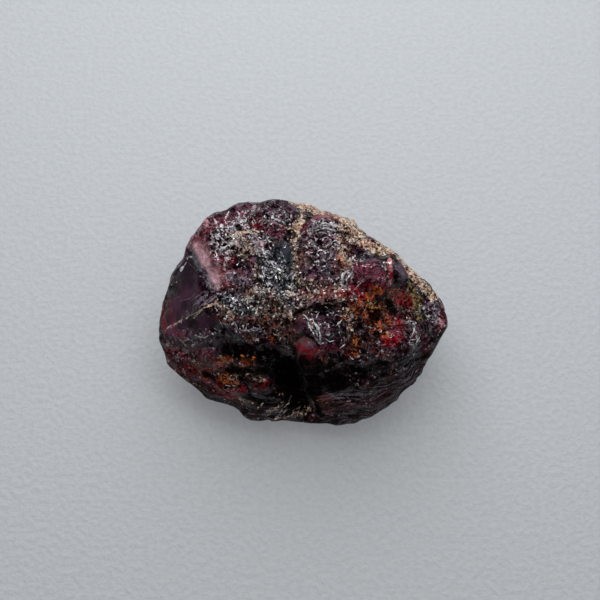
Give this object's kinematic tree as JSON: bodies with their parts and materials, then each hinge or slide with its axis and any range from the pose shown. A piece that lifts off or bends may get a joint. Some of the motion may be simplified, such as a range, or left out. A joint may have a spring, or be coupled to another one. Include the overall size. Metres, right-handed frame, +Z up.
{
  "type": "garnet crystal",
  "caption": "Rough garnet crystal: a worn, dark red, rounded crystal with glassy breaks, knobs and hollows, lying on its flat parting face.",
  "frame": {"origin": "centre of the crystal's box on plan, at the height of the flat parting face that it lies on", "axes": "+X towards the crystal's point, along its longest size; +Z up, away from the parting face; -Y towards the steep front flank"},
  "size_m": [0.0344, 0.0272, 0.02],
  "materials": {
    "garnet": "rough dark plum-red garnet, glassy on its breaks, with mica and tan and orange crust"
  },
  "bodies": {
    "root": {"garnet_crystal": "garnet"}
  },
  "joints": []
}
